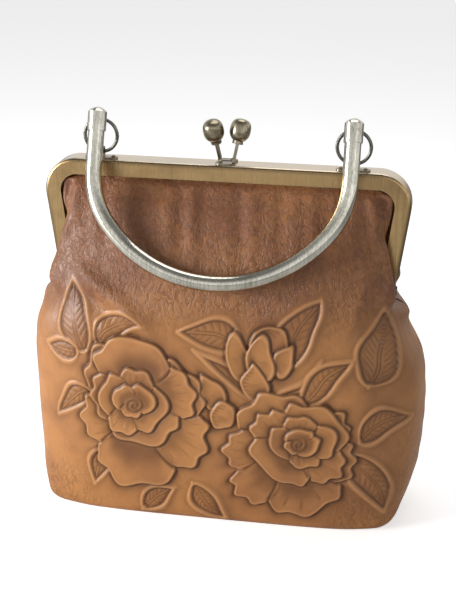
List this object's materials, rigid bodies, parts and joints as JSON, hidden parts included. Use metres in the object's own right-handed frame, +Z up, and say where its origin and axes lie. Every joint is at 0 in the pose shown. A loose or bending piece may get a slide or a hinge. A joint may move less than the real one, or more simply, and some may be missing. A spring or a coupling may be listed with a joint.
{
  "type": "frame bag",
  "caption": "Kiss-lock frame handbag in tooled leather, with a hinged channel frame, clasp beads, ring lugs and a U-shaped tube handle that hangs in front.",
  "frame": {"origin": "on the floor, under the middle of the base", "axes": "+X to the right seen from the front, +Y to the back, +Z up; the front faces -Y"},
  "size_m": [0.2498, 0.0996, 0.2495],
  "materials": {
    "frame_metal": "brushed, antiqued",
    "bead_metal": "satin",
    "handle_metal": "satin",
    "small_metal": "satin",
    "leather": "semi-gloss, tooled",
    "lining": "woven",
    "string": "twisted"
  },
  "bodies": {
    "bag": {"front_frame": "frame_metal", "hinge_pin_left": "small_metal", "hinge_pin_right": "small_metal", "channel_string_front": "string", "front_panel": "leather", "back_panel": "leather", "base_panel": "leather", "lining_front": "lining", "lining_back": "lining", "clasp_arm_front": "frame_metal", "clasp_bead_front": "bead_metal", "clasp_rivet_front": "small_metal", "lug_rivets": "small_metal", "ring_lug_left": "frame_metal", "ring_lug_right": "frame_metal"},
    "rear_half": {"rear_frame": "frame_metal", "channel_string_rear": "string", "clasp_arm_rear": "frame_metal", "clasp_bead_rear": "bead_metal", "clasp_rivet_rear": "small_metal"},
    "rings": {"ring_left": "handle_metal", "ring_right": "handle_metal"},
    "handle": {"handle_tube": "handle_metal", "handle_cap_left": "handle_metal", "handle_cap_right": "handle_metal"}
  },
  "joints": [
    {"name": "frame_hinge", "type": "hinge", "parent": "bag", "child": "rear_half", "pos_m": [0, 0, 0.144], "axis": [-1, 0, 0], "range_deg": [0, 60], "deforming": ["back_panel", "lining_back"]},
    {"name": "ring_swing", "type": "hinge", "parent": "bag", "child": "rings", "pos_m": [0, -0.004, 0.2212], "axis": [-1, 0, 0], "range_deg": [0, 50]},
    {"name": "handle_swing", "type": "hinge", "parent": "rings", "child": "handle", "pos_m": [0, -0.004, 0.2408], "axis": [-1, 0, 0], "range_deg": [0, 160]}
  ]
}
